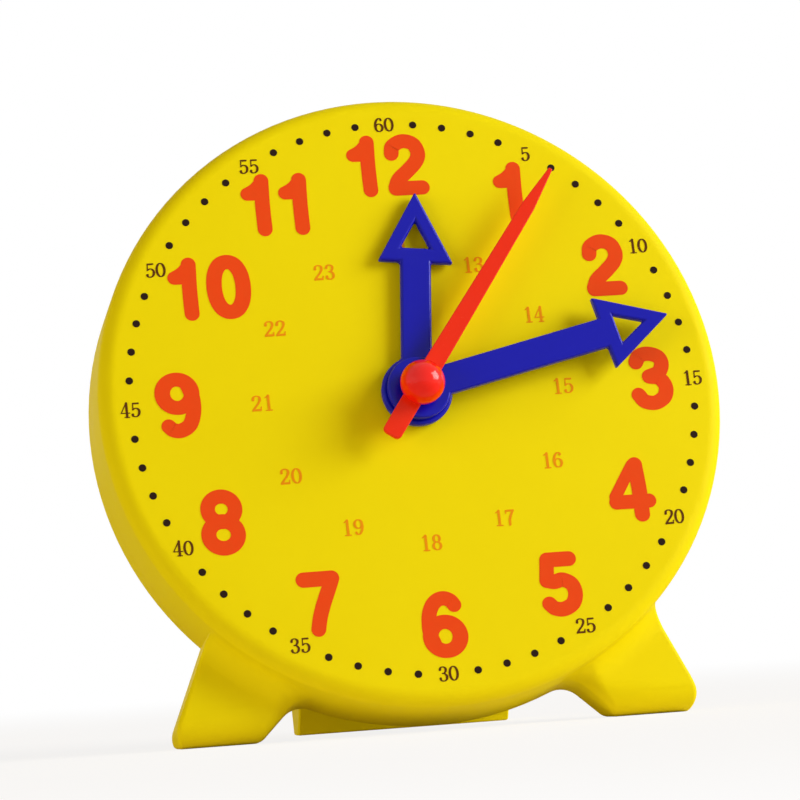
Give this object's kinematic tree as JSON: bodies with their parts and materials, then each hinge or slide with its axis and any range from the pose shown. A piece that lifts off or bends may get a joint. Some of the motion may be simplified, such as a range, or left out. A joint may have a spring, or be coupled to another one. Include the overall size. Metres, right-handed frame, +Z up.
{
  "type": "teaching clock",
  "caption": "Small leaning teaching clock with a round moulded case on feet, geared hour and minute hands and a second hand with a ball knob.",
  "frame": {"origin": "on the ground under the middle of the clock, width and depth", "axes": "+Z up, the dial faces -Y and leans back 13 degrees, +X to the reader's right"},
  "size_m": [0.105, 0.0458, 0.1062],
  "materials": {
    "case_yellow": "satin-gloss moulded yellow plastic",
    "hand_blue": "satin-gloss moulded blue plastic",
    "hand_red": "glossy moulded red plastic",
    "knob_blue": "satin-gloss moulded blue plastic",
    "gear_white": "natural white acetal",
    "steel": "bright zinc-plated steel",
    "brass": "turned brass"
  },
  "bodies": {
    "case": {"front_shell": "case_yellow", "rear_cover": "case_yellow", "rear_leg": "case_yellow", "cover_screws": "steel", "plate_screws": "steel", "leg_screws": "steel", "gear_plate": "gear_white", "dial_bushing": "brass", "friction_washer": "steel"},
    "minute": {"minute_pipe": "brass", "minute_pinion": "gear_white", "minute_hand": "hand_blue"},
    "hour": {"hour_wheel": "gear_white", "hour_hand": "hand_blue"},
    "idler": {"idler_arbor": "steel", "idler_wheel": "gear_white", "idler_pinion": "gear_white", "setting_knob": "knob_blue", "knob_screw": "steel"},
    "second": {"second_arbor": "steel", "second_retainer": "steel", "second_hand": "hand_red", "second_ball": "hand_red"}
  },
  "joints": [
    {"name": "minute_spin", "type": "hinge", "parent": "case", "child": "minute", "pos_m": [0, -0.01161, 0.0556], "axis": [0, 0.9744, -0.225], "continuous": true},
    {"name": "idler_spin", "type": "hinge", "parent": "case", "child": "idler", "pos_m": [0, -0.00655, 0.07752], "axis": [0, 0.9744, -0.225], "continuous": true},
    {"name": "hour_spin", "type": "hinge", "parent": "case", "child": "hour", "pos_m": [0, -0.01161, 0.0556], "axis": [0, 0.9744, -0.225], "continuous": true},
    {"name": "second_spin", "type": "hinge", "parent": "case", "child": "second", "pos_m": [0, -0.01161, 0.0556], "axis": [0, 0.9744, -0.225], "continuous": true}
  ],
  "couplings": [
    {"joint": "idler_spin", "follows": "minute_spin", "ratio": -0.33333},
    {"joint": "hour_spin", "follows": "minute_spin", "ratio": 0.083333}
  ]
}
